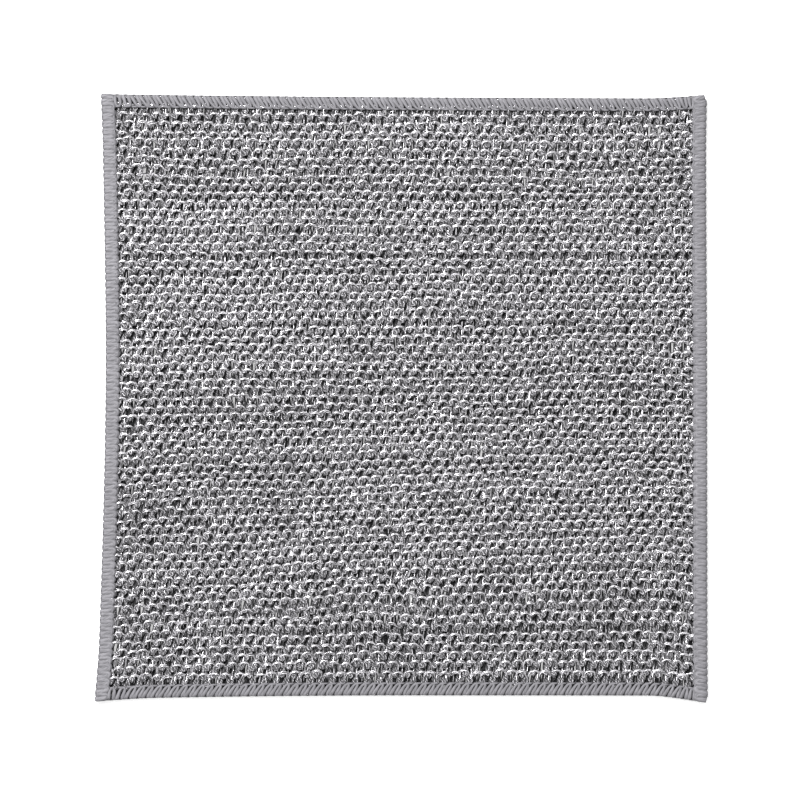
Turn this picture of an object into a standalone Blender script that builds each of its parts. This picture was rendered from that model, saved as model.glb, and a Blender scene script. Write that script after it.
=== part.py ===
"""A knitted wire dishcloth, lying flat with its face up.

It is one knitted sheet whose four edges are overlocked, each with three threads. The upper looper
thread covers the face of the edge and comes down round it, the lower looper thread covers the back,
and the needle thread runs along the line of stitches that holds both. The top and bottom edges were
sewn first, and the left and right edges run the full height over their ends.

The object's frame: +X to the right, +Y to the top edge, +Z up from the face. The origin is on the
surface that the cloth lies on, under the middle of its outline.
"""

import math

import bmesh
import bpy

MM = 0.001

# The outline, with its beads. Its widest place is between the lower corners.
CLOTH_WIDTH = 204.7 * MM
CLOTH_HEIGHT = 203.2 * MM

# How far each corner lies inside the outline's box, across and up.
TOP_LEFT_INSET = (2.1 * MM, 0.0)
TOP_RIGHT_INSET = (0.3 * MM, 0.4 * MM)
BOTTOM_LEFT_INSET = (0.0, 0.4 * MM)
BOTTOM_RIGHT_INSET = (0.0, 0.0)

# How far each edge is drawn in from the straight line between its corners, at the middle three of
# these shares of its length, from left to right or from the bottom up.
EDGE_SHARES = (0.0, 0.1, 0.5, 0.9, 1.0)
TOP_DRAWN_IN = (0.3 * MM, 0.9 * MM, 1.1 * MM)
BOTTOM_DRAWN_IN = (1.2 * MM, 2.2 * MM, 2.3 * MM)
LEFT_DRAWN_IN = (1.3 * MM, 2.6 * MM, 0.9 * MM)
RIGHT_DRAWN_IN = (0.1 * MM, 0.1 * MM, 0.3 * MM)

# The knitted sheet. Each course of loops makes two ridges, and the second stands out less.
KNIT_THICKNESS = 2.4 * MM
COURSE_PITCH = 5.83 * MM
VALLEY_DEPTH = 0.5 * MM
SHALLOW_VALLEY_DEPTH = 0.28 * MM
LESSER_RIDGE_DEPTH = 0.1 * MM

# The seams press the sheet's edge thin, and it thickens again over this distance.
PINCHED_THICKNESS = 0.8 * MM
PINCH_SLOPE = 1.0 * MM

# The threads of an overlocked edge. The looper threads stand out at each stitch.
LOOPER_WIDTH = 3.9 * MM
LOOPER_THICKNESS = 0.35 * MM
STITCH_RELIEF = 0.15 * MM
NEEDLE_THREAD_DIAMETER = 0.5 * MM

# The top and bottom stitches lean to the right as they go inwards. The side ones lie square.
HEM_STITCH_PITCH = 2.83 * MM
HEM_LEAN = math.radians(28)
HEM_LEAN_RUN_IN = 8.0 * MM
SIDE_STITCH_PITCH = 2.45 * MM

# The rounding of the side seams' ends.
LEFT_END_RADIUS = 0.6 * MM
TOP_RIGHT_RADIUS = 2.3 * MM
BOTTOM_RIGHT_RADIUS = 2.0 * MM

# The air between pieces that touch, and the sheet's room inside the bend of a seam.
GAP = 0.3 * MM
EDGE_ROOM = 0.45 * MM

# The points across a looper thread. The upper one goes on from its outer border down the edge.
INNER_BORDER, OUTER_BORDER, LOWER_BORDER = range(3)

# How finely the curves are followed, and how near two points are to be one.
SHEET_COLUMN_SHARES = (0.1, 0.33, 0.67, 0.9)
NEEDLE_THREAD_STEPS = 24
MERGE_DISTANCE = 0.01 * MM

# What follows from the sizes.
SEAM_THICKNESS = PINCHED_THICKNESS + 2 * (GAP + LOOPER_THICKNESS + STITCH_RELIEF)
MIDDLE_HEIGHT = max(KNIT_THICKNESS, SEAM_THICKNESS) / 2
SHEET_EDGE_INSET = LOOPER_THICKNESS + STITCH_RELIEF + EDGE_ROOM
CLEAR_OF_LOOPERS = LOOPER_WIDTH + GAP
NEEDLE_INSET = CLEAR_OF_LOOPERS + NEEDLE_THREAD_DIAMETER / 2
CLEAR_OF_SEAM = CLEAR_OF_LOOPERS + NEEDLE_THREAD_DIAMETER + GAP

# The profile across one course: the share of the course, and how far below the crest it lies.
COURSE_PROFILE = (
    (0.0, VALLEY_DEPTH),
    (0.14, 0.0),
    (0.38, 0.0),
    (0.5, SHALLOW_VALLEY_DEPTH),
    (0.74, LESSER_RIDGE_DEPTH),
)


def mixed(a, b, share):
    """The value a share of the way from a to b."""
    return a + (b - a) * share


def drawn_in(insets, share):
    """How far an edge is drawn in at a share of its length.

    A smooth curve through both corners and the three insets, level where it turns back.
    """
    values = (0.0, *insets, 0.0)
    steps = [after - before for before, after in zip(EDGE_SHARES, EDGE_SHARES[1:])]
    slopes = [(values[k + 1] - values[k]) / step for k, step in enumerate(steps)]
    turns = [2 * a * b / (a + b) if a * b > 0 else 0.0 for a, b in zip(slopes, slopes[1:])]
    turns = [slopes[0], *turns, slopes[-1]]
    k = max(k for k in range(len(steps)) if share >= EDGE_SHARES[k])
    t = (share - EDGE_SHARES[k]) / steps[k]
    leaving = values[k] * (1 + 2 * t) + steps[k] * turns[k] * t
    arriving = values[k + 1] * (3 - 2 * t) + steps[k] * turns[k + 1] * (t - 1)
    return leaving * (1 - t) ** 2 + arriving * t**2


def cloth_point(across, up):
    """The place on the cloth at a share of its width and of its height.

    The left and right edges are blended across the cloth and the top and bottom ones up it, so
    the sheet's courses and the seams all follow the outline.
    """
    left = mixed(BOTTOM_LEFT_INSET[0], TOP_LEFT_INSET[0], up) + drawn_in(LEFT_DRAWN_IN, up)
    right = mixed(BOTTOM_RIGHT_INSET[0], TOP_RIGHT_INSET[0], up) + drawn_in(RIGHT_DRAWN_IN, up)
    bottom = mixed(BOTTOM_LEFT_INSET[1], BOTTOM_RIGHT_INSET[1], across) + drawn_in(BOTTOM_DRAWN_IN, across)
    top = mixed(TOP_LEFT_INSET[1], TOP_RIGHT_INSET[1], across) + drawn_in(TOP_DRAWN_IN, across)
    x = mixed(left, CLOTH_WIDTH - right, across) - CLOTH_WIDTH / 2
    y = mixed(bottom, CLOTH_HEIGHT - top, up) - CLOTH_HEIGHT / 2
    return x, y


def edge_point(side, along, inset):
    """The place at a share along one edge, and at a distance in from it."""
    if side == "left":
        return cloth_point(inset / CLOTH_WIDTH, along)
    if side == "right":
        return cloth_point(1 - inset / CLOTH_WIDTH, along)
    if side == "bottom":
        return cloth_point(along, inset / CLOTH_HEIGHT)
    return cloth_point(along, 1 - inset / CLOTH_HEIGHT)


def end_rounding(distance, radius):
    """How far a rounded corner draws the border in, at a distance from the seam's end."""
    if distance >= radius:
        return 0.0
    return radius - math.sqrt(radius**2 - (radius - distance) ** 2)


def make_material(name, colour, metallic, roughness):
    """A Principled material with one colour."""
    material = bpy.data.materials.new(name)
    material.use_nodes = True
    shader = material.node_tree.nodes["Principled BSDF"]
    shader.inputs["Base Color"].default_value = (*colour, 1.0)
    shader.inputs["Metallic"].default_value = metallic
    shader.inputs["Roughness"].default_value = roughness
    return material


def add_object(name, data, material):
    """An object at the height of the cloth's middle plane, in the cloth's collection."""
    data.materials.append(material)
    item = bpy.data.objects.new(name, data)
    item.location.z = MIDDLE_HEIGHT
    cloth.objects.link(item)
    return item


def grid_mesh(name, columns, rows, place):
    """A grid of vertices, each put where place says for its column and row."""
    shape = bmesh.new()
    bmesh.ops.create_grid(shape, x_segments=columns - 1, y_segments=rows - 1, size=0.5)
    for vertex in shape.verts:
        column = round((vertex.co.x + 0.5) * (columns - 1))
        row = round((vertex.co.y + 0.5) * (rows - 1))
        vertex.co = place(column, row)
    mesh = bpy.data.meshes.new(name)
    shape.to_mesh(mesh)
    shape.free()
    return mesh


def add_sheet():
    """The knitted sheet: its upper half as a grid, mirrored in the middle plane.

    The outer ring of the grid lies on that plane under the ring next to it, which closes the rim.
    """
    free_inset = CLEAR_OF_SEAM + PINCH_SLOPE
    insets = (SHEET_EDGE_INSET, SHEET_EDGE_INSET, CLEAR_OF_SEAM, free_inset)
    left_shares = [inset / CLOTH_WIDTH for inset in insets]
    right_shares = [1 - share for share in reversed(left_shares)]
    columns = [*left_shares, *SHEET_COLUMN_SHARES, *right_shares]

    free_height = CLOTH_HEIGHT - 2 * free_inset
    courses = round(free_height / COURSE_PITCH)
    pitch = free_height / courses
    crest = KNIT_THICKNESS / 2
    rows = [(inset / CLOTH_HEIGHT, PINCHED_THICKNESS / 2) for inset in insets[:-1]]
    for course in range(courses):
        for share, depth in COURSE_PROFILE:
            rows.append(((free_inset + (course + share) * pitch) / CLOTH_HEIGHT, crest - depth))
    rows.append((1 - free_inset / CLOTH_HEIGHT, crest - VALLEY_DEPTH))
    rows += [(1 - inset / CLOTH_HEIGHT, PINCHED_THICKNESS / 2) for inset in reversed(insets[:-1])]

    last_column, last_row = len(columns) - 1, len(rows) - 1
    pinched_columns = len(insets) - 1

    def place(column, row):
        up, height = rows[row]
        x, y = cloth_point(columns[column], up)
        if column < pinched_columns or column > last_column - pinched_columns:
            height = PINCHED_THICKNESS / 2
        if column in (0, last_column) or row in (0, last_row):
            height = 0.0
        return round_right_corners(x, y, height)

    sheet = add_object("knitted_sheet", grid_mesh("knitted_sheet", len(columns), len(rows), place), yarn)
    mirror = sheet.modifiers.new("back", "MIRROR")
    mirror.use_axis = (False, False, True)
    mirror.use_mirror_merge = True
    mirror.merge_threshold = MERGE_DISTANCE


def round_right_corners(x, y, height):
    """Draws a point of the sheet in where it would reach into a rounded end of the right seam."""
    for up, radius in ((0.0, BOTTOM_RIGHT_RADIUS), (1.0, TOP_RIGHT_RADIUS)):
        corner_x, corner_y = cloth_point(1.0, up)
        inwards = 1 if up == 0.0 else -1
        centre_x, centre_y = corner_x - radius, corner_y + inwards * radius
        beyond_x, beyond_y = x - centre_x, (centre_y - y) * inwards
        reach = math.hypot(beyond_x, beyond_y)
        room = max(radius - SHEET_EDGE_INSET, 0.0)
        if beyond_x > 0 and beyond_y > 0 and reach > room:
            x = centre_x + beyond_x * room / reach
            y = centre_y - inwards * beyond_y * room / reach
    return x, y, height


def add_looper_thread(side, face, start, end, stitch_pitch, lean, start_radius, end_radius):
    """The upper or lower looper thread of a seam, as a strip with a ridge at each stitch.

    The upper one lies on the sheet's face and turns down over its edge. The lower one lies on the
    back and ends under the upper one's border.
    """
    upper = face == "upper"
    away = 1 if upper else -1
    length = CLOTH_WIDTH if side in ("top", "bottom") else CLOTH_HEIGHT
    span = (end - start) * length
    stitches = round(span / stitch_pitch)
    half_thread = LOOPER_THICKNESS / 2
    clear_of_sheet = PINCHED_THICKNESS / 2 + GAP + half_thread

    def place(station, point):
        share = station / (2 * stitches)
        from_start, from_end = share * span, (1 - share) * span
        on_stitch = STITCH_RELIEF if station % 2 == 1 else 0.0
        rounding = max(end_rounding(from_start, start_radius), end_rounding(from_end, end_radius))
        inset = max(STITCH_RELIEF - on_stitch, rounding)
        if upper:
            inset += half_thread
        if point == INNER_BORDER:
            inset = LOOPER_WIDTH
        height = away * (clear_of_sheet + on_stitch)
        if point == LOWER_BORDER:
            height = -PINCHED_THICKNESS / 2
        run_in = min(from_start, from_end, HEM_LEAN_RUN_IN) / HEM_LEAN_RUN_IN
        along = mixed(start, end, share) + math.tan(lean) * inset * run_in / length
        return *edge_point(side, along, inset), height

    name = f"{side}_{face}_looper_thread"
    points = LOWER_BORDER + 1 if upper else OUTER_BORDER + 1
    strip = add_object(name, grid_mesh(name, 2 * stitches + 1, points, place), thread)
    solidify = strip.modifiers.new("thread", "SOLIDIFY")
    solidify.thickness = LOOPER_THICKNESS
    solidify.offset = 0.0
    solidify.use_even_offset = True


def add_needle_thread(side, start, end):
    """The thread along the line of stitches, just inside the loopers."""
    line = bpy.data.curves.new(f"{side}_needle_thread", "CURVE")
    line.dimensions = "3D"
    line.bevel_depth = NEEDLE_THREAD_DIAMETER / 2
    line.bevel_resolution = 1
    line.use_fill_caps = True
    spline = line.splines.new("POLY")
    spline.points.add(NEEDLE_THREAD_STEPS)
    height = PINCHED_THICKNESS / 2 + GAP + NEEDLE_THREAD_DIAMETER / 2
    for step, point in enumerate(spline.points):
        x, y = edge_point(side, mixed(start, end, step / NEEDLE_THREAD_STEPS), NEEDLE_INSET)
        point.co = (x, y, height, 1.0)
    add_object(line.name, line, thread)


def add_hem(side):
    """The top or bottom seam: its loopers meet those of the side seams, and its needle thread
    meets their needle threads."""
    start = CLEAR_OF_LOOPERS / CLOTH_WIDTH
    for face in ("upper", "lower"):
        add_looper_thread(side, face, start, 1 - start, HEM_STITCH_PITCH, HEM_LEAN, 0.0, 0.0)
    add_needle_thread(side, CLEAR_OF_SEAM / CLOTH_WIDTH, 1 - CLEAR_OF_SEAM / CLOTH_WIDTH)


def add_side_seam(side, bottom_radius, top_radius):
    """The left or right seam, over the full height, with its needle thread between the hems."""
    for face in ("upper", "lower"):
        add_looper_thread(side, face, 0.0, 1.0, SIDE_STITCH_PITCH, 0.0, bottom_radius, top_radius)
    add_needle_thread(side, CLEAR_OF_LOOPERS / CLOTH_HEIGHT, 1 - CLEAR_OF_LOOPERS / CLOTH_HEIGHT)


for item in list(bpy.data.objects):
    bpy.data.objects.remove(item, do_unlink=True)

cloth = bpy.data.collections.new("wire_dishcloth")
bpy.context.scene.collection.children.link(cloth)

yarn = make_material("metallic_yarn", (0.27, 0.265, 0.28), 0.85, 0.35)
thread = make_material("sewing_thread", (0.33, 0.325, 0.345), 0.0, 0.75)

add_sheet()
add_hem("top")
add_hem("bottom")
add_side_seam("left", LEFT_END_RADIUS, LEFT_END_RADIUS)
add_side_seam("right", BOTTOM_RIGHT_RADIUS, TOP_RIGHT_RADIUS)
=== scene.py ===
"""A knitted wire dishcloth, lying flat and seen from straight above.

Every loop of the knit and every stitch of its four overlocked edges is yarn or thread here: a
profile carried along a path that numpy works out for all the loops or stitches at once.
"""

import bpy
import numpy as np
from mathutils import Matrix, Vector


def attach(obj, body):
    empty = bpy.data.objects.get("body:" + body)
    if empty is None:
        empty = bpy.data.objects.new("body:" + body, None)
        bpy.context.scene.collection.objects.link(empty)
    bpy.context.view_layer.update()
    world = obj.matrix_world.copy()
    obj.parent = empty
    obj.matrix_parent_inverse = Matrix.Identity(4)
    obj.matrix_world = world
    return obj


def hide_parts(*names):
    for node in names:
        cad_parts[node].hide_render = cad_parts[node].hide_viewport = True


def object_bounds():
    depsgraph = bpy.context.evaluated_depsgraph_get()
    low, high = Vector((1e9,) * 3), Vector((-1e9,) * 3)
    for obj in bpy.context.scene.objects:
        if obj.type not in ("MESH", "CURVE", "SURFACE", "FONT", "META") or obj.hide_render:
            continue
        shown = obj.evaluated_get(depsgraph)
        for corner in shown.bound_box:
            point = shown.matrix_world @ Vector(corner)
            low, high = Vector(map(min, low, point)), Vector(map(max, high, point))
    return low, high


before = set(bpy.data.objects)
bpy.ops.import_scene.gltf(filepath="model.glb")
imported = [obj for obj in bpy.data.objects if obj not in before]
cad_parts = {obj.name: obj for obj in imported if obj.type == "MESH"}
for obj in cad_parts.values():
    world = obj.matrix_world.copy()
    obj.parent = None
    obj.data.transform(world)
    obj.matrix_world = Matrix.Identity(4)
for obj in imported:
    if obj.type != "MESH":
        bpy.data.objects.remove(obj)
CAD_LOW, CAD_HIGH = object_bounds()

MM = 0.001
TURN = 2 * np.pi
UP = np.array([0.0, 0.0, 1.0])
SEED = 20
rng = np.random.default_rng(SEED)

# The cloth's outline, as the solids have it: how far its corners are drawn in from the box, and
# its edges at a tenth, a half and nine tenths of their length.
CLOTH_WIDTH = CAD_HIGH.x - CAD_LOW.x
CLOTH_HEIGHT = CAD_HIGH.y - CAD_LOW.y
MIDDLE_HEIGHT = (CAD_LOW.z + CAD_HIGH.z) / 2
TOP_LEFT_INSET = (2.1 * MM, 0.0)
TOP_RIGHT_INSET = (0.3 * MM, 0.4 * MM)
BOTTOM_LEFT_INSET = (0.0, 0.4 * MM)
BOTTOM_RIGHT_INSET = (0.0, 0.0)
EDGE_SHARES = np.array([0.0, 0.1, 0.5, 0.9, 1.0])
TOP_DRAWN_IN = (0.3 * MM, 0.9 * MM, 1.1 * MM)
BOTTOM_DRAWN_IN = (1.2 * MM, 2.2 * MM, 2.3 * MM)
LEFT_DRAWN_IN = (1.3 * MM, 2.6 * MM, 0.9 * MM)
RIGHT_DRAWN_IN = (0.1 * MM, 0.1 * MM, 0.3 * MM)
LEFT_END_RADIUS = 0.6 * MM
TOP_RIGHT_RADIUS = 2.3 * MM
BOTTOM_RIGHT_RADIUS = 2.0 * MM

# The knit, which grew from its top edge down: each loop's head hangs down as a narrow cup, and
# the float that joins two loops is the wide arch between them. The next course knits on the wales
# that this one floats past, half a pitch along.
WALE_PITCH = 3.83 * MM
ROW_PITCH = 2.915 * MM
FEEDERS = 3

# A loop's path: its rise in rows, its bulges and slant in wales, the power that flattens its
# arches, its depth in metres and what its legs and cups are lifted by, as shares of that depth.
LOOP_RISE = 1.75
LOOP_BULGES = (0.19, 0.19, 0.01)
LOOP_SLANT = 0.13
ARCH_SQUARENESS = 0.5
LOOP_DEPTH = 0.75 * MM
LEG_LIFT = 0.3
CUP_LIFT = 0.05
DEEPEST = 0.6 * MM

# The yarn's section, the stations along a loop and how much they crowd at its arch and cup.
CUP_WIDTH, CUP_THICKNESS = 1.45 * MM, 0.95 * MM
ARCH_WIDTH, ARCH_THICKNESS = 1.1 * MM, 0.85 * MM
LEG_WIDTH, LEG_THICKNESS = 1.2 * MM, 0.75 * MM
YARN_STEPS, YARN_SIDES = 11, 5
ARC_CROWDING = 0.45

# Where the knit ends under the seams: how far it reaches past its edge wales, what share is kept
# of a loop that would reach further, how thin the seams press it and over what distance.
KNIT_EDGE_INSET = 1.2 * MM
WALES_PAST_EDGE = 0.05
OVERRUN = 0.04
PINCH_INSET = 2.9 * MM
PINCH_SLOPE = 0.8 * MM
PINCHED_SHARE = 0.3

# How uneven the knit is. The first four are in wales, in rows, and as shares of the loop's rise
# and depth. Then come a share of the steel that shows and the share of all these that a whole
# course has in common. The three wavers are how far rows and wales waver, over how many places,
# and how soon that sets in from the edges. The spare places lie beyond the last loop of a course.
SHIFT_ACROSS = 0.09
SHIFT_UP = 0.08
STRETCH = 0.03
UNEVEN_LIFT = 0.16
UNEVEN_PLATING = 0.14
WHOLE_COURSE = 0.5
WAVER = 0.6 * MM
WAVER_CELLS = 9
WAVER_EASE = 6.0
SPARE_PLACES = 4

# How far the rows rise from the left edge to the right one, at shares of the cloth's height.
RISE_SHARES = np.array([0.0, 0.08, 0.2, 0.35, 0.5, 0.7, 1.0])
RISES = (0.0, 2.3 * MM, 6.5 * MM, 5.3 * MM, 3.0 * MM, 0.9 * MM, 0.0)

# The bright strands that are laid along the yarn. Each swings round it from its side up to its
# top and down beneath it, by a share of a turn each way. Where it lies on top is in turns of the
# loop. The steel that is wound into the yarn itself shows most on the arches.
STRAND_WIDTH = 0.42 * MM
STRAND_THICKNESS = 0.24 * MM
STRAND_STEPS, STRAND_SIDES = 9, 3
STRAND_SWING = 0.21
ARCH_STRAND_AT = 0.0
LEG_STRAND_AT = -0.16
UNEVEN_ANGLE = 0.09
PLATING_SHARPNESS = 0.9
LEAST_PLATING = 0.75

# The overlocked edges: how wide and thick a seam is and how far, in radians, its threads bend
# round the edge.
SEAM_WIDTH = 3.9 * MM
SEAM_HALF_THICKNESS = 0.98 * MM
WRAP_ANGLE = 1.35
LOOPER_THICKNESS = 0.36 * MM
LOOPER_STEPS, LOOPER_SIDES = 16, 6
LOOPER_SQUARENESS = 0.8
LOOPER_PAUSE = 0.85

# The hems along the top and bottom. The threads' two widths are at their inner and outer turns.
# Pairing and offset are shares of a stitch.
HEM_STITCH_PITCH = 2.83 * MM
HEM_END_INSET = 4.0 * MM
HEM_LEAN = np.radians(28)
HEM_LEAN_RUN_IN = 8.0 * MM
HEM_THREAD_WIDTHS = (0.95 * MM, 1.5 * MM)
HEM_PAIRING = 0.12
HEM_OFFSET = 0.5

# The seams along the left and right, which don't lean.
SIDE_STITCH_PITCH = 2.45 * MM
SIDE_END_INSET = 0.4 * MM
SIDE_LEAN = 0.0
SIDE_THREAD_WIDTHS = (2.3 * MM, 2.0 * MM)
SIDE_PAIRING = 0.3
SIDE_OFFSET = 0.0

# The needle threads, just inside the loopers' inner turns. The dip is a share of the seam's half
# thickness, and its sharpness is a power.
NEEDLE_INSET = 4.2 * MM
NEEDLE_END_INSET = 4.2 * MM
NEEDLE_THREAD_WIDTH = 0.7 * MM
NEEDLE_STEPS, NEEDLE_SIDES = 8, 5
NEEDLE_DIP = 1.2
NEEDLE_DIP_SHARPNESS = 4.0


def curve_through(shares, values, share):
    """A smooth curve through values at given shares: a cubic between each two, whose slope at each
    is the harmonic mean of those on its sides, or level where they differ in sign."""
    values = np.array(values)
    steps = np.diff(shares)
    slopes = np.diff(values) / steps
    before, after = slopes[:-1], slopes[1:]
    same_way = before * after > 0
    inner = np.where(same_way, 2 * before * after / np.where(same_way, before + after, 1.0), 0.0)
    turns = np.concatenate([slopes[:1], inner, slopes[-1:]])
    k = np.clip(np.searchsorted(shares, share, side="right") - 1, 0, len(steps) - 1)
    t = (share - shares[k]) / steps[k]
    leaving = values[k] * (1 + 2 * t) + steps[k] * turns[k] * t
    arriving = values[k + 1] * (3 - 2 * t) + steps[k] * turns[k + 1] * (t - 1)
    return leaving * (1 - t) ** 2 + arriving * t**2


def drawn_in(insets, share):
    """How far an edge is drawn in at shares of its length."""
    return curve_through(EDGE_SHARES, (0.0, *insets, 0.0), share)


def mixed(a, b, share):
    """The value a share of the way from a to b."""
    return a + (b - a) * share


def smooth_step(value):
    """0 below 0, 1 above 1, and three squares less two cubes of the value between them."""
    value = np.clip(value, 0.0, 1.0)
    return value**2 * (3 - 2 * value)


def held_within(value, low, high):
    """The value where it lies in the range, and beyond it the range's end plus a small share of
    what is over, so that no two points of a path become one."""
    held = np.clip(value, low, high)
    return held + OVERRUN * (value - held)


def cloth_place(across, up):
    """x and y at shares of the cloth's width and height: the left and right edges are blended
    across the cloth, and the bottom and top edges up it."""
    left = mixed(BOTTOM_LEFT_INSET[0], TOP_LEFT_INSET[0], up) + drawn_in(LEFT_DRAWN_IN, up)
    right = mixed(BOTTOM_RIGHT_INSET[0], TOP_RIGHT_INSET[0], up) + drawn_in(RIGHT_DRAWN_IN, up)
    bottom = mixed(BOTTOM_LEFT_INSET[1], BOTTOM_RIGHT_INSET[1], across) + drawn_in(BOTTOM_DRAWN_IN, across)
    top = mixed(TOP_LEFT_INSET[1], TOP_RIGHT_INSET[1], across) + drawn_in(TOP_DRAWN_IN, across)
    x = mixed(left, CLOTH_WIDTH - right, across) + CAD_LOW.x
    y = mixed(bottom, CLOTH_HEIGHT - top, up) + CAD_LOW.y
    return x, y


def unit(vectors):
    """The vectors at length 1."""
    return vectors / np.linalg.norm(vectors, axis=-1, keepdims=True)


def directions(path, facing):
    """The side and normal directions of a path that faces a given way: the path's own direction
    is the difference of its neighbouring points, the side is square to that and to facing, and
    the normal is square to both."""
    ahead = unit(np.gradient(path, axis=-2))
    side = unit(np.cross(facing, ahead))
    return side, np.cross(ahead, side)


def profile_angles(sides):
    """The angles of a profile's corners, one of them at its top."""
    return TURN * (np.arange(sides) / sides + 0.25)


def carried_profile(path, side, normal, half_width, half_thickness, sides):
    """The rings of an elliptical profile carried along paths: each point of a path plus the
    cosine of the angle along its side and the sine along its normal."""
    angle = profile_angles(sides)
    out = np.cos(angle)[:, None] * (half_width * side)[..., None, :]
    return path[..., None, :] + out + np.sin(angle)[:, None] * (half_thickness * normal)[..., None, :]


def outwardness(rings):
    """1 where a thread's surface faces out of the cloth at its face or back, 0 where it faces
    sideways or lies at the middle, and below 0 where it faces into the cloth: the height off the
    middle plane times the upward share of the direction from the profile's middle."""
    height = (rings[..., 2] - MIDDLE_HEIGHT) / MIDDLE_HEIGHT
    middle = rings.mean(axis=-2, keepdims=True)
    return height * unit(rings - middle)[..., 2]


def length_along(path):
    """The distance along each path, added up from point to point."""
    steps = np.linalg.norm(np.diff(path, axis=-2), axis=-1)
    return np.concatenate([np.zeros_like(steps[..., :1]), np.cumsum(steps, axis=-1)], axis=-1)


def thread_piece(name, rings, lengths, material, plating=0.0):
    """A piece of one or more threads. rings has the shape threads, stations, sides, 3, and each
    two neighbouring rings are joined by four-sided faces. Each end is closed by one face. The
    attribute thread holds the length along the thread and the profile's cosine and sine, and
    plating is 1 where the steel strands lie uppermost."""
    threads, stations, sides = rings.shape[:3]
    index = np.arange(threads * stations * sides).reshape(threads, stations, sides)
    near, far = index[:, :-1], index[:, 1:]
    quads = np.stack([near, np.roll(near, -1, 2), np.roll(far, -1, 2), far], axis=-1).reshape(-1, 4)
    ends = np.concatenate([index[:, 0, ::-1], index[:, -1]])
    mesh = bpy.data.meshes.new(name)
    mesh.from_pydata(rings.reshape(-1, 3), [], quads.tolist() + ends.tolist())
    mesh.shade_smooth()
    along = np.empty(rings.shape)
    along[..., 0] = lengths[..., None]
    along[..., 1] = np.cos(profile_angles(sides))
    along[..., 2] = np.sin(profile_angles(sides))
    mesh.attributes.new("thread", "FLOAT_VECTOR", "POINT").data.foreach_set("vector", along.ravel())
    # The attribute outward is the mask of the painted shade in the thread materials.
    mesh.attributes.new("outward", "FLOAT", "POINT").data.foreach_set("value", outwardness(rings).ravel())
    plated = np.broadcast_to(np.asarray(plating)[..., None], rings.shape[:3]).ravel()
    mesh.attributes.new("plating", "FLOAT", "POINT").data.foreach_set("value", plated)
    mesh.materials.append(material)
    piece = bpy.data.objects.new(name, mesh)
    bpy.context.scene.collection.objects.link(piece)
    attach(piece, "root")
    return piece


# Node groups that the yarn, the strands and the sewing thread share. A wound strand's border is
# soft by a share of the strands' spacing, the filament noise is spread from dull to bright over a
# range, and patches are counted to a metre.

STRAND_SOFTNESS = 0.06
FILAMENT_DETAIL = 2.0
FILAMENT_RANGE = (0.35, 0.65)
TONE_PATCHES = 14.0


def new_group(name, inputs, outputs):
    """A shader node group with number inputs and outputs, and the nodes at its two ends."""
    group = bpy.data.node_groups.new(name, "ShaderNodeTree")
    for socket in inputs:
        group.interface.new_socket(socket, in_out="INPUT", socket_type="NodeSocketFloat")
    for socket in outputs:
        group.interface.new_socket(socket, in_out="OUTPUT", socket_type="NodeSocketFloat")
    return group, group.nodes.new("NodeGroupInput"), group.nodes.new("NodeGroupOutput")


def attribute(tree, name):
    """A node that reads one of the mesh's attributes."""
    node = tree.nodes.new("ShaderNodeAttribute")
    node.attribute_name = name
    return node


def calculated(tree, operation, *values):
    """The output of a Math node on outputs and numbers."""
    node = tree.nodes.new("ShaderNodeMath")
    node.operation = operation
    for socket, value in zip(node.inputs, values):
        if isinstance(value, (int, float)):
            socket.default_value = value
        else:
            tree.links.new(value, socket)
    return node.outputs[0]


def make_openness_group():
    """How open a place is to the light, as the mask of the painted shade: 0 where the attribute
    outward is Deep or less, 1 where it is Open or more, and a smooth step between them."""
    group, start, end = new_group("openness", ("Deep", "Open"), ("Openness",))
    step = group.nodes.new("ShaderNodeMapRange")
    step.interpolation_type = "SMOOTHSTEP"
    group.links.new(attribute(group, "outward").outputs["Fac"], step.inputs["Value"])
    group.links.new(start.outputs["Deep"], step.inputs["From Min"])
    group.links.new(start.outputs["Open"], step.inputs["From Max"])
    group.links.new(step.outputs["Result"], end.inputs["Openness"])
    return group


def make_filament_group():
    """Fine filaments that run along a thread and wind round it: noise on the profile's cosine and
    sine, turned by Twist turns a metre and widened to Filaments, and on Lumps along a metre."""
    group, start, end = new_group("filaments", ("Twist", "Filaments", "Lumps"), ("Filament",))
    parts = group.nodes.new("ShaderNodeSeparateXYZ")
    group.links.new(attribute(group, "thread").outputs["Vector"], parts.inputs["Vector"])
    profile = group.nodes.new("ShaderNodeCombineXYZ")
    group.links.new(parts.outputs["Y"], profile.inputs["X"])
    group.links.new(parts.outputs["Z"], profile.inputs["Y"])
    turned = group.nodes.new("ShaderNodeVectorRotate")
    turned.rotation_type = "Z_AXIS"
    turns = calculated(group, "MULTIPLY", parts.outputs["X"], start.outputs["Twist"])
    group.links.new(calculated(group, "MULTIPLY", turns, TURN), turned.inputs["Angle"])
    group.links.new(profile.outputs["Vector"], turned.inputs["Vector"])
    turned_parts = group.nodes.new("ShaderNodeSeparateXYZ")
    group.links.new(turned.outputs["Vector"], turned_parts.inputs["Vector"])
    place = group.nodes.new("ShaderNodeCombineXYZ")
    for axis, value, factor in (
        ("X", turned_parts.outputs["X"], "Filaments"),
        ("Y", turned_parts.outputs["Y"], "Filaments"),
        ("Z", parts.outputs["X"], "Lumps"),
    ):
        group.links.new(calculated(group, "MULTIPLY", value, start.outputs[factor]), place.inputs[axis])
    noise = group.nodes.new("ShaderNodeTexNoise")
    noise.inputs["Scale"].default_value = 1.0
    noise.inputs["Detail"].default_value = FILAMENT_DETAIL
    group.links.new(place.outputs["Vector"], noise.inputs["Vector"])
    group.links.new(noise.outputs["Fac"], end.inputs["Filament"])
    return group


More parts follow.
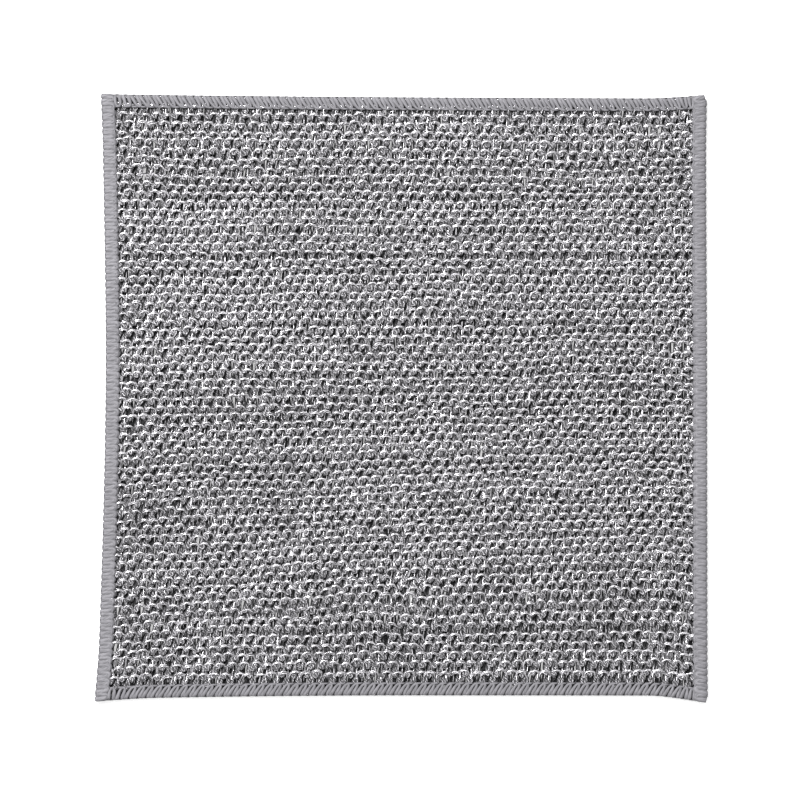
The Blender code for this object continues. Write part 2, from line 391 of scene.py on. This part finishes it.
def make_winding_group():
    """Strands that wind round a yarn: the distance from the nearest of them, as a share of their
    spacing, is worked out from the angle round the profile plus Twist turns a metre along it,
    which noise with Lumps along a metre sways by Wander. The output is 1 on the strands, which
    cover the Cover share of the yarn where the attribute plating is 1, and 0 between them."""
    inputs = ("Strands", "Twist", "Cover", "Wander", "Lumps")
    group, start, end = new_group("wound_strands", inputs, ("Strand",))
    parts = group.nodes.new("ShaderNodeSeparateXYZ")
    group.links.new(attribute(group, "thread").outputs["Vector"], parts.inputs["Vector"])
    length = parts.outputs["X"]
    angle = calculated(group, "ARCTAN2", parts.outputs["Z"], parts.outputs["Y"])
    around = calculated(group, "DIVIDE", angle, TURN)
    turns = calculated(group, "ADD", around, calculated(group, "MULTIPLY", length, start.outputs["Twist"]))
    noise = group.nodes.new("ShaderNodeTexNoise")
    noise.noise_dimensions = "1D"
    noise.inputs["Scale"].default_value = 1.0
    group.links.new(calculated(group, "MULTIPLY", length, start.outputs["Lumps"]), noise.inputs["W"])
    sway = calculated(group, "MULTIPLY", noise.outputs["Fac"], start.outputs["Wander"])
    phase = calculated(group, "ADD", calculated(group, "MULTIPLY", turns, start.outputs["Strands"]), sway)
    off = calculated(group, "ABSOLUTE", calculated(group, "WRAP", phase, 0.5, -0.5))
    nearness = group.nodes.new("ShaderNodeMapRange")
    nearness.interpolation_type = "SMOOTHSTEP"
    plating = attribute(group, "plating").outputs["Fac"]
    half = calculated(group, "MULTIPLY", calculated(group, "MULTIPLY", start.outputs["Cover"], plating), 0.5)
    group.links.new(off, nearness.inputs["Value"])
    group.links.new(calculated(group, "ADD", half, STRAND_SOFTNESS), nearness.inputs["From Min"])
    group.links.new(calculated(group, "SUBTRACT", half, STRAND_SOFTNESS), nearness.inputs["From Max"])
    group.links.new(nearness.outputs["Result"], end.inputs["Strand"])
    return group


def make_tone_group():
    """Patches of lighter and darker tone: noise on Object coordinates with Patches to a metre,
    stretched to Spread on both sides of 1."""
    group, start, end = new_group("uneven_tone", ("Patches", "Spread"), ("Tone",))
    place = group.nodes.new("ShaderNodeTexCoord")
    noise = group.nodes.new("ShaderNodeTexNoise")
    group.links.new(place.outputs["Object"], noise.inputs["Vector"])
    group.links.new(start.outputs["Patches"], noise.inputs["Scale"])
    off_middle = calculated(group, "SUBTRACT", noise.outputs["Fac"], 0.5)
    swing = calculated(group, "MULTIPLY", off_middle, start.outputs["Spread"])
    group.links.new(calculated(group, "ADD", swing, 1.0), end.inputs["Tone"])
    return group


OPENNESS = make_openness_group()
FILAMENTS = make_filament_group()
WOUND_STRANDS = make_winding_group()
UNEVEN_TONE = make_tone_group()


def placed_group(tree, group, **values):
    """A group placed in a material, with its own values."""
    node = tree.nodes.new("ShaderNodeGroup")
    node.node_tree = group
    for name, value in values.items():
        node.inputs[name].default_value = value
    return node.outputs[0]


def blended(tree, share, a, b):
    """The colour a share of the way from a to b, each a colour or an output."""
    node = tree.nodes.new("ShaderNodeMix")
    node.data_type = "RGBA"
    tree.links.new(share, node.inputs["Factor"])
    for socket, value in (("A", a), ("B", b)):
        if isinstance(value, tuple):
            node.inputs[socket].default_value = (*value, 1)
        else:
            tree.links.new(value, node.inputs[socket])
    return node.outputs["Result"]


def ranged(tree, value, low, high):
    """A number from low to high as the value goes from 0 to 1."""
    node = tree.nodes.new("ShaderNodeMapRange")
    node.inputs["To Min"].default_value = low
    node.inputs["To Max"].default_value = high
    tree.links.new(value, node.inputs["Value"])
    return node.outputs["Result"]


def thread_material(
    name, painted_shade, dull, bright, gloss, metallic, roughness, filaments, relief, openness, spread, wound=None
):
    """A thread's finish: painted shade, a dark colour where the thread lies low inside the cloth away
    from the light, dull and bright filaments where it is open, patches of tone over the whole cloth,
    and roughness and relief that follow the filaments. Where wound is given, bright steel strands
    are wound round the thread and only they are metallic."""
    material = bpy.data.materials.new(name)
    material.use_nodes = True
    tree = material.node_tree
    shader = tree.nodes["Principled BSDF"]
    filament = placed_group(tree, FILAMENTS, **filaments)
    brightness = tree.nodes.new("ShaderNodeMapRange")
    brightness.interpolation_type = "SMOOTHSTEP"
    brightness.inputs["From Min"].default_value = FILAMENT_RANGE[0]
    brightness.inputs["From Max"].default_value = FILAMENT_RANGE[1]
    tree.links.new(filament, brightness.inputs["Value"])
    surface = blended(tree, brightness.outputs["Result"], dull, bright)
    rough = ranged(tree, filament, *roughness)
    height = filament
    shader.inputs["Specular IOR Level"].default_value = gloss
    shader.inputs["Metallic"].default_value = metallic
    if wound:
        strand = placed_group(tree, WOUND_STRANDS, **wound)
        surface = blended(tree, strand, surface, STEEL)
        rough = ranged(tree, strand, *roughness)
        height = calculated(tree, "ADD", filament, strand)
        tree.links.new(calculated(tree, "MULTIPLY", strand, metallic), shader.inputs["Metallic"])
    open_share = placed_group(tree, OPENNESS, **openness)
    # Painted shade: the dark colour is blended in where the openness mask says the thread lies low inside
    # the cloth.
    shaded = blended(tree, open_share, painted_shade, surface)
    toned = tree.nodes.new("ShaderNodeVectorMath")
    toned.operation = "SCALE"
    tree.links.new(shaded, toned.inputs["Vector"])
    tone = placed_group(tree, UNEVEN_TONE, Patches=TONE_PATCHES, Spread=spread)
    tree.links.new(tone, toned.inputs["Scale"])
    tree.links.new(toned.outputs["Vector"], shader.inputs["Base Color"])
    tree.links.new(rough, shader.inputs["Roughness"])
    bump = tree.nodes.new("ShaderNodeBump")
    bump.inputs["Strength"].default_value = 1.0
    bump.inputs["Distance"].default_value = relief
    tree.links.new(height, bump.inputs["Height"])
    tree.links.new(bump.outputs["Normal"], shader.inputs["Normal"])
    return material


STEEL = (0.75, 0.738, 0.768)
# The first colour of each thread below is its painted shade, for where it lies low inside the cloth away
# from the light.
YARN = thread_material(
    "grey_yarn",
    painted_shade=(0.012, 0.012, 0.013),
    dull=(0.055, 0.054, 0.0575),
    bright=(0.15, 0.1475, 0.1565),
    gloss=0.15,
    metallic=0.5,
    roughness=(0.8, 0.5),
    filaments={"Twist": 220.0, "Filaments": 3.5, "Lumps": 600.0},
    relief=0.4 * MM,
    openness={"Deep": -0.05, "Open": 0.5},
    spread=0.5,
    wound={"Strands": 3.0, "Twist": 260.0, "Cover": 0.38, "Wander": 2.0, "Lumps": 600.0},
)
STRAND = thread_material(
    "bright_strand",
    painted_shade=(0.02, 0.02, 0.022),
    dull=(0.6, 0.59, 0.615),
    bright=(0.95, 0.938, 0.968),
    gloss=0.3,
    metallic=0.8,
    roughness=(0.15, 0.45),
    filaments={"Twist": 0.0, "Filaments": 0.6, "Lumps": 700.0},
    relief=0.1 * MM,
    openness={"Deep": -0.9, "Open": 0.1},
    spread=0.3,
)
THREAD = thread_material(
    "sewing_thread",
    painted_shade=(0.05, 0.049, 0.054),
    dull=(0.115, 0.1125, 0.122),
    bright=(0.215, 0.21, 0.226),
    gloss=0.45,
    metallic=0.0,
    roughness=(0.6, 0.8),
    filaments={"Twist": 60.0, "Filaments": 4.0, "Lumps": 250.0},
    relief=0.08 * MM,
    openness={"Deep": -0.45, "Open": 0.65},
    spread=0.25,
)


# The knit.

WALES = round((CLOTH_WIDTH - 2 * KNIT_EDGE_INSET) / WALE_PITCH)
COURSES = round((CLOTH_HEIGHT - 2 * KNIT_EDGE_INSET) / ROW_PITCH)


def uneven(per_loop, amount):
    """A function of the place along the courses: random amounts at per_loop places in each loop
    of each course, eased between the places, and a smaller one for each whole course."""
    values = rng.normal(0.0, amount, (COURSES, WALES * per_loop + SPARE_PLACES))
    values = values + rng.normal(0.0, amount * WHOLE_COURSE, (COURSES, 1))

    def at(loops):
        place = np.clip(loops * per_loop, 0, values.shape[1] - 2)
        k = np.floor(place).astype(int)
        return mixed(values[:, k], values[:, k + 1], smooth_step(place - k))

    return at


def gentle(cells, amount):
    """A function of the shares across and up: random amounts on a coarse grid, eased between."""
    values = rng.normal(0.0, amount, (cells + 2, cells + 2))

    def at(across, up):
        column, row = np.clip(across, 0, 1) * cells, np.clip(up, 0, 1) * cells
        i, j = np.floor(column).astype(int), np.floor(row).astype(int)
        a, b = smooth_step(column - i), smooth_step(row - j)
        lower = mixed(values[j, i], values[j, i + 1], a)
        return mixed(lower, mixed(values[j + 1, i], values[j + 1, i + 1], a), b)

    return at


shift_across = uneven(2, SHIFT_ACROSS)
shift_up = uneven(2, SHIFT_UP)
stretch = uneven(2, STRETCH)
lift = uneven(4, UNEVEN_LIFT)
plating_swing = uneven(1, UNEVEN_PLATING)
sway = gentle(WAVER_CELLS, WAVER)
sag = gentle(WAVER_CELLS, WAVER)


def on_cloth(wales, rows, height):
    """Points of the knit in metres, from their place in wales and rows and their height off its
    middle plane, and how full the yarn is there. The rows rise to the right, both ways waver a
    little, and under the seams the knit is pressed thin."""
    share = held_within(wales, -WALES_PAST_EDGE, WALES + WALES_PAST_EDGE) / WALES
    across = mixed(KNIT_EDGE_INSET, CLOTH_WIDTH - KNIT_EDGE_INSET, share) / CLOTH_WIDTH
    share = held_within(rows, 0.0, COURSES) / COURSES
    up = mixed(KNIT_EDGE_INSET, CLOTH_HEIGHT - KNIT_EDGE_INSET, share) / CLOTH_HEIGHT
    free = smooth_step(WAVER_EASE * np.minimum(across, 1 - across))
    free = free * smooth_step(WAVER_EASE * np.minimum(up, 1 - up))
    rise = curve_through(RISE_SHARES, RISES, up) * across
    across, up = (
        across + free * sway(across, up) / CLOTH_WIDTH,
        up + (rise + free * sag(across, up)) / CLOTH_HEIGHT,
    )
    x, y = cloth_place(across, up)
    inset = np.minimum(np.minimum(across, 1 - across) * CLOTH_WIDTH, np.minimum(up, 1 - up) * CLOTH_HEIGHT)
    fullness = mixed(PINCHED_SHARE, 1.0, smooth_step((inset - PINCH_INSET) / PINCH_SLOPE))
    return np.stack([x, y, MIDDLE_HEIGHT + height * fullness], axis=-1), fullness[..., None]


def yarn_path(steps, which):
    """The yarn of some of the courses. Across, it is the place along the course plus a slant by
    the cosine of the loop's angle and three sines, of that angle and of twice and three times it.
    Up, it is the angle's cosine, to a power below 1 where it is positive, so that the arches are
    flatter than the cups. In height, it is the cosine of twice the angle, so that arches and cups
    lie on the face and the legs behind them. Its section is fullest at the cups."""
    loops = np.arange(WALES * steps + 1) / steps
    loops = loops - ARC_CROWDING * np.sin(2 * TURN * loops) / (2 * TURN)
    course = np.arange(COURSES)[which, None]
    angle = TURN * (loops + 0.5 * (course % 2))
    wales = loops + LOOP_SLANT * np.cos(angle) + shift_across(loops)[which]
    for order, bulge in enumerate(LOOP_BULGES, start=1):
        wales = wales + bulge * np.sin(order * angle)
    wave = np.cos(angle)
    wave = np.where(wave > 0, np.abs(wave) ** ARCH_SQUARENESS, wave)
    rows = course + 0.5 + LOOP_RISE * wave * (1 + stretch(loops)[which]) + shift_up(loops)[which]
    height = LOOP_DEPTH * (np.cos(2 * angle) + LEG_LIFT - CUP_LIFT * np.cos(angle) + lift(loops)[which])
    path, fullness = on_cloth(wales, rows, np.clip(height, -DEEPEST, DEEPEST))
    arc = (0.5 + 0.5 * np.cos(2 * angle))[..., None]
    cup = (0.5 - 0.5 * np.cos(angle))[..., None]
    half_width = mixed(LEG_WIDTH, mixed(ARCH_WIDTH, CUP_WIDTH, cup), arc) / 2
    half_thickness = fullness * mixed(LEG_THICKNESS, mixed(ARCH_THICKNESS, CUP_THICKNESS, cup), arc) / 2
    side, normal = directions(path, UP)
    return loops, angle, path, side, normal, half_width, half_thickness


def add_yarn(name, which):
    """The grey yarn of the courses that one feeder knits. The steel that shows is a smooth step of
    the cosine of the loop's angle, from the least at the cups to all of it at the arches, and
    differs a little from loop to loop."""
    loops, angle, path, side, normal, half_width, half_thickness = yarn_path(YARN_STEPS, which)
    rings = carried_profile(path, side, normal, half_width, half_thickness, YARN_SIDES)
    plating = mixed(LEAST_PLATING, 1.0, smooth_step(PLATING_SHARPNESS * np.cos(angle) + 0.5))
    plating = plating * (1 + plating_swing(loops)[which])
    piece = thread_piece(name, rings, length_along(path), YARN, plating)
    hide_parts("knitted_sheet")
    return piece


def add_strand(name, uppermost_at):
    """A strand laid along the yarn of every course: the yarn's path plus its half width times the
    cosine of a winding angle along its side, and its half thickness times the sine along its
    normal. The strand lies on top of the yarn where the loop has turned as far as uppermost_at,
    and swings round one side of it to lie underneath half a loop further on."""
    loops, angle, path, side, normal, half_width, half_thickness = yarn_path(STRAND_STEPS, slice(None))
    swing = STRAND_SWING * np.cos(angle - TURN * uppermost_at)
    winding = TURN * (swing + uneven(1, UNEVEN_ANGLE)(loops))[..., None]
    strand = path + np.cos(winding) * side * half_width + np.sin(winding) * normal * half_thickness
    out = unit(np.cos(winding) * side * half_thickness + np.sin(winding) * normal * half_width)
    across, outwards = directions(strand, out)
    rings = carried_profile(strand, across, outwards, STRAND_WIDTH / 2, STRAND_THICKNESS / 2, STRAND_SIDES)
    return thread_piece(name, rings, length_along(strand), STRAND)


yarns = [add_yarn(f"feeder_{feeder}_yarn", slice(feeder, None, FEEDERS)) for feeder in range(FEEDERS)]
strands = [
    add_strand("arch_strand", ARCH_STRAND_AT),
    add_strand("leg_strand", LEG_STRAND_AT),
]


# The overlocked edges.

EDGE_LENGTHS = {"left": CLOTH_HEIGHT, "right": CLOTH_HEIGHT, "bottom": CLOTH_WIDTH, "top": CLOTH_WIDTH}
OUTWARDS = {
    "left": np.array([-1.0, 0.0, 0.0]),
    "right": np.array([1.0, 0.0, 0.0]),
    "bottom": np.array([0.0, -1.0, 0.0]),
    "top": np.array([0.0, 1.0, 0.0]),
}


def seam_place(side, along, inset):
    """x and y at a share along one edge and a distance in from it."""
    if side == "left":
        return cloth_place(inset / CLOTH_WIDTH, along)
    if side == "right":
        return cloth_place(1 - inset / CLOTH_WIDTH, along)
    if side == "bottom":
        return cloth_place(along, inset / CLOTH_HEIGHT)
    return cloth_place(along, 1 - inset / CLOTH_HEIGHT)


def round_end(distance, radius):
    """How far a rounded end draws the edge in at a distance from that end: the radius less the
    height of a circle of that radius."""
    left = np.clip(radius - distance, 0.0, radius)
    return radius - np.sqrt(radius**2 - left**2)


def looper_rings(side, face, ends, pitch, lean, pairing, offset, widths, radii):
    """A looper thread. It goes out and back across the edge once in each stitch: its place across
    the band is the cosine of the stitch's angle, squared off, and its place along the edge nearly
    stands still between the turns, less a sine that draws its outer turns together in pairs. At
    the edge it bends round it in a quarter circle. The lower looper's stitches are offset from
    the upper's by a share of a stitch. widths are the thread's, at its inner and outer turns, and
    radii are those of the edge's two rounded ends."""
    length = EDGE_LENGTHS[side]
    run = length - 2 * ends
    stitches = round(run / pitch)
    stitch = np.arange(stitches * LOOPER_STEPS + 1) / LOOPER_STEPS
    phase = 0.0 if face == "upper" else offset
    swing = np.cos(TURN * (stitch + phase))
    swing = np.sign(swing) * np.abs(swing) ** LOOPER_SQUARENESS
    wrap = WRAP_ANGLE * SEAM_HALF_THICKNESS
    flat = SEAM_WIDTH - SEAM_HALF_THICKNESS
    outward = (flat + wrap) * (0.5 + 0.5 * swing)
    bend = np.clip((outward - flat) / SEAM_HALF_THICKNESS, 0.0, WRAP_ANGLE)
    inset = np.where(bend > 0, SEAM_HALF_THICKNESS * (1 - np.sin(bend)), SEAM_WIDTH - outward)
    height = SEAM_HALF_THICKNESS * np.cos(bend)
    walk = stitch + LOOPER_PAUSE * np.sin(2 * TURN * stitch) / (2 * TURN)
    walk = walk - pairing * np.sin(TURN * (stitch + phase)) / TURN
    distance = walk * run / stitches
    run_in = np.clip(np.minimum(distance, run - distance) / HEM_LEAN_RUN_IN, 0.0, 1.0)
    along = ends + distance + np.tan(lean) * inset * run_in
    rounding = round_end(along, radii[0]) + round_end(length - along, radii[1])
    x, y = seam_place(side, along / length, np.maximum(inset, rounding) + LOOPER_THICKNESS / 2)
    way = 1.0 if face == "upper" else -1.0
    path = np.stack([x, y, MIDDLE_HEIGHT + way * height], axis=-1)
    facing = np.sin(bend)[:, None] * OUTWARDS[side] + np.cos(bend)[:, None] * way * UP
    across_thread, normal = directions(path, facing)
    half_width = mixed(*widths, smooth_step(outward / flat))[:, None] / 2
    rings = carried_profile(path, across_thread, normal, half_width, LOOPER_THICKNESS / 2, LOOPER_SIDES)
    return rings[None], length_along(path)[None]


def needle_rings(side, pitch):
    """The needle thread: a line of stitches that dips into the knit once in each, by a power of
    the cosine of half the stitch's angle."""
    length = EDGE_LENGTHS[side]
    run = length - 2 * NEEDLE_END_INSET
    stitches = round(run / pitch)
    stitch = np.arange(stitches * NEEDLE_STEPS + 1) / NEEDLE_STEPS
    dip = NEEDLE_DIP * np.abs(np.cos(TURN / 2 * stitch)) ** NEEDLE_DIP_SHARPNESS
    along = (NEEDLE_END_INSET + run * stitch / stitches) / length
    x, y = seam_place(side, along, np.full_like(along, NEEDLE_INSET))
    path = np.stack([x, y, MIDDLE_HEIGHT + SEAM_HALF_THICKNESS * (1.0 - dip)], axis=-1)
    across_thread, normal = directions(path, UP)
    half = NEEDLE_THREAD_WIDTH / 2
    rings = carried_profile(path, across_thread, normal, half, half, NEEDLE_SIDES)
    return rings[None], length_along(path)[None]


def add_seam(side, ends, pitch, lean, pairing, offset, widths, radii):
    """One edge's seam: the looper threads over its face and back, and its needle thread."""
    pieces = []
    for face in ("upper", "lower"):
        rings, lengths = looper_rings(side, face, ends, pitch, lean, pairing, offset, widths, radii)
        piece = thread_piece(f"{side}_{face}_looper_stitches", rings, lengths, THREAD)
        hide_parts(f"{side}_{face}_looper_thread")
        pieces.append(piece)
    rings, lengths = needle_rings(side, pitch)
    piece = thread_piece(f"{side}_needle_stitches", rings, lengths, THREAD)
    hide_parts(f"{side}_needle_thread")
    return [*pieces, piece]


HEM = (HEM_END_INSET, HEM_STITCH_PITCH, HEM_LEAN, HEM_PAIRING, HEM_OFFSET, HEM_THREAD_WIDTHS)
SIDE = (SIDE_END_INSET, SIDE_STITCH_PITCH, SIDE_LEAN, SIDE_PAIRING, SIDE_OFFSET, SIDE_THREAD_WIDTHS)
SQUARE_ENDS = (0.0, 0.0)
LEFT_ENDS = (LEFT_END_RADIUS, LEFT_END_RADIUS)
RIGHT_ENDS = (BOTTOM_RIGHT_RADIUS, TOP_RIGHT_RADIUS)
seams = [
    *add_seam("top", *HEM, SQUARE_ENDS),
    *add_seam("bottom", *HEM, SQUARE_ENDS),
    *add_seam("left", *SIDE, LEFT_ENDS),
    *add_seam("right", *SIDE, RIGHT_ENDS),
]


# The studio: a pale floor that glows a little, even light all round and one lamp from the upper
# left.

FLOOR_HALF = 2.0
FLOOR_HEIGHT = -0.2 * MM
WHITE = (1, 1, 1, 1)
FLOOR_COLOUR = (0.9, 0.9, 0.9, 1)
FLOOR_ROUGHNESS = 0.9
FLOOR_GLOW = 0.45
SKY_STRENGTH = 0.75
KEY_PLACE = (-0.62, 0.7, 1.25)
KEY_SIZE = 0.25
KEY_POWER = 42.0
LENS, SENSOR = 135.0, 36.0
CAMERA_PLACE = (-0.35 * MM, -0.5 * MM, 1.0 + CAD_HIGH.z)


def add_floor():
    """A square floor just below the cloth, in a pale material that glows a little."""
    signs = ((-1, -1), (1, -1), (1, 1), (-1, 1))
    corners = [(x * FLOOR_HALF, y * FLOOR_HALF, FLOOR_HEIGHT) for x, y in signs]
    mesh = bpy.data.meshes.new("floor")
    mesh.from_pydata(corners, [], [(0, 1, 2, 3)])
    material = bpy.data.materials.new("pale_floor")
    material.use_nodes = True
    shader = material.node_tree.nodes["Principled BSDF"]
    shader.inputs["Base Color"].default_value = FLOOR_COLOUR
    shader.inputs["Roughness"].default_value = FLOOR_ROUGHNESS
    shader.inputs["Emission Color"].default_value = WHITE
    shader.inputs["Emission Strength"].default_value = FLOOR_GLOW
    mesh.materials.append(material)
    floor = bpy.data.objects.new("floor", mesh)
    bpy.context.scene.collection.objects.link(floor)


def add_lamp(name, place, size, power):
    """A square lamp that points at the middle of the cloth."""
    data = bpy.data.lights.new(name, "AREA")
    data.size = size
    data.energy = power
    lamp = bpy.data.objects.new(name, data)
    lamp.location = place
    lamp.rotation_euler = (-Vector(place)).to_track_quat("-Z", "Y").to_euler()
    bpy.context.scene.collection.objects.link(lamp)


def add_sky():
    """Even white light from all round."""
    world = bpy.data.worlds.new("studio")
    world.use_nodes = True
    background = world.node_tree.nodes["Background"]
    background.inputs["Color"].default_value = WHITE
    background.inputs["Strength"].default_value = SKY_STRENGTH
    bpy.context.scene.world = world
    bpy.context.scene.view_settings.view_transform = "Standard"


def add_camera():
    """A camera straight above the cloth, at the photograph's scale."""
    data = bpy.data.cameras.new("camera")
    data.sensor_width = SENSOR
    data.lens = LENS
    camera = bpy.data.objects.new("camera", data)
    camera.location = CAMERA_PLACE
    bpy.context.scene.collection.objects.link(camera)
    bpy.context.scene.camera = camera


add_floor()
add_sky()
add_lamp("key_lamp", KEY_PLACE, KEY_SIZE, KEY_POWER)
add_camera()
